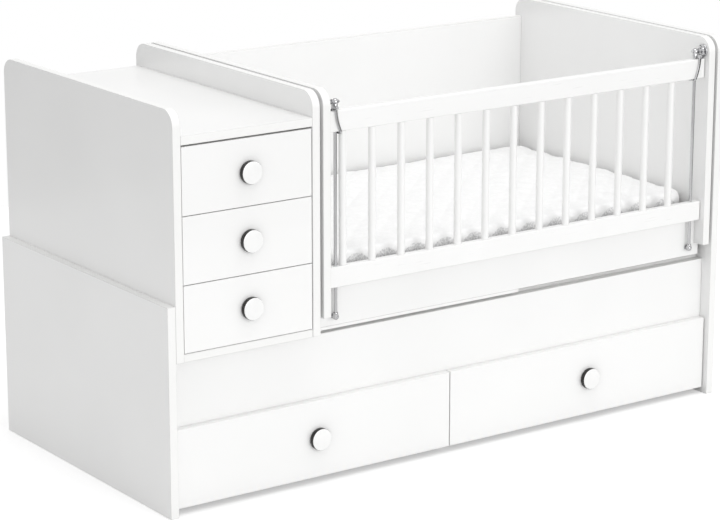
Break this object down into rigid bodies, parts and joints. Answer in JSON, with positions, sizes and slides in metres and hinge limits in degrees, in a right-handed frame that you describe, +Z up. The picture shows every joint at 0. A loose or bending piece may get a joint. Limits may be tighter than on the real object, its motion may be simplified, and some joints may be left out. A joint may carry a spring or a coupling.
{
  "type": "convertible crib",
  "caption": "White convertible crib with a drop side on chrome rods, a joined chest of drawers and a bed base with drawers below, mattress fitted",
  "frame": {"origin": "centre of the bounding box's underside, on the floor", "axes": "+X runs from the chest end to the crib end (length), +Y from the drawer side to the wall side, +Z up"},
  "size_m": [1.72, 0.837, 0.985],
  "materials": {
    "white_laminate": "semi-gloss white melamine on particle board, edge banded",
    "gloss_front": "white melamine with a little more gloss than the panels",
    "raw_board": "plain matt foil on thin board",
    "bare_wood": "planed, untreated",
    "white_lacquered_wood": "satin white lacquer",
    "chrome_fittings": "polished plate",
    "zinc_runner": "bright zinc plate, drawn",
    "nylon_bush": "moulded, dull",
    "dark_metal": "dark lacquer, semi-gloss",
    "knob_white": "glossy white face",
    "quilted_ticking": "white quilted ticking with a fine embossed pattern"
  },
  "bodies": {
    "frame": {"base_left_end": "white_laminate", "base_right_end": "white_laminate", "base_front_board": "white_laminate", "base_back_board": "white_laminate", "base_divider": "white_laminate", "base_deck": "raw_board", "deck_battens": "bare_wood", "base_runners": "zinc_runner", "chest_left_side": "white_laminate", "chest_right_side": "white_laminate", "chest_top": "white_laminate", "chest_bottom": "white_laminate", "chest_back": "raw_board", "chest_runners": "zinc_runner", "crib_left_end": "white_laminate", "crib_right_end": "white_laminate", "crib_back_panel": "white_laminate", "crib_apron": "white_laminate", "crib_frame": "white_laminate", "crib_skids": "white_laminate", "slat_battens": "bare_wood", "slats": "bare_wood", "mattress": "quilted_ticking", "guide_rods": "chrome_fittings", "rod_top_brackets": "chrome_fittings", "rod_feet": "chrome_fittings", "dowels": "bare_wood"},
    "drop_side": {"top_rail": "white_lacquered_wood", "bottom_rail": "white_lacquered_wood", "side_bars": "white_lacquered_wood", "rail_bushes": "nylon_bush", "latch_brackets": "chrome_fittings"},
    "left_hook": {"left_latch_hook": "chrome_fittings"},
    "right_hook": {"right_latch_hook": "chrome_fittings"},
    "top_drawer": {"top_drawer_front": "gloss_front", "top_drawer_box": "raw_board", "top_drawer_slides": "zinc_runner", "top_drawer_knob_base": "dark_metal", "top_drawer_knob_cap": "knob_white"},
    "middle_drawer": {"middle_drawer_front": "gloss_front", "middle_drawer_box": "raw_board", "middle_drawer_slides": "zinc_runner", "middle_drawer_knob_base": "dark_metal", "middle_drawer_knob_cap": "knob_white"},
    "bottom_drawer": {"bottom_drawer_front": "gloss_front", "bottom_drawer_box": "raw_board", "bottom_drawer_slides": "zinc_runner", "bottom_drawer_knob_base": "dark_metal", "bottom_drawer_knob_cap": "knob_white"},
    "left_bed_drawer": {"left_bed_drawer_front": "gloss_front", "left_bed_drawer_box": "raw_board", "left_bed_drawer_slides": "zinc_runner", "left_bed_drawer_knob_base": "dark_metal", "left_bed_drawer_knob_cap": "knob_white"},
    "right_bed_drawer": {"right_bed_drawer_front": "gloss_front", "right_bed_drawer_box": "raw_board", "right_bed_drawer_slides": "zinc_runner", "right_bed_drawer_knob_base": "dark_metal", "right_bed_drawer_knob_cap": "knob_white"}
  },
  "joints": [
    {"name": "top_drawer_slide", "type": "slide", "parent": "frame", "child": "top_drawer", "axis": [0, -1, 0], "range_m": [0, 0.4]},
    {"name": "middle_drawer_slide", "type": "slide", "parent": "frame", "child": "middle_drawer", "axis": [0, -1, 0], "range_m": [0, 0.4]},
    {"name": "bottom_drawer_slide", "type": "slide", "parent": "frame", "child": "bottom_drawer", "axis": [0, -1, 0], "range_m": [0, 0.4]},
    {"name": "left_bed_drawer_slide", "type": "slide", "parent": "frame", "child": "left_bed_drawer", "axis": [0, -1, 0], "range_m": [0, 0.45]},
    {"name": "right_bed_drawer_slide", "type": "slide", "parent": "frame", "child": "right_bed_drawer", "axis": [0, -1, 0], "range_m": [0, 0.45]},
    {"name": "drop_side_slide", "type": "slide", "parent": "frame", "child": "drop_side", "axis": [0, 0, -1], "range_m": [0, 0.062]},
    {"name": "left_hook_hinge", "type": "hinge", "parent": "drop_side", "child": "left_hook", "pos_m": [-0.3765, -0.3915, 0.9365], "axis": [-1, 0, 0], "range_deg": [0, 60]},
    {"name": "right_hook_hinge", "type": "hinge", "parent": "drop_side", "child": "right_hook", "pos_m": [0.7845, -0.3915, 0.9365], "axis": [-1, 0, 0], "range_deg": [0, 60]}
  ]
}
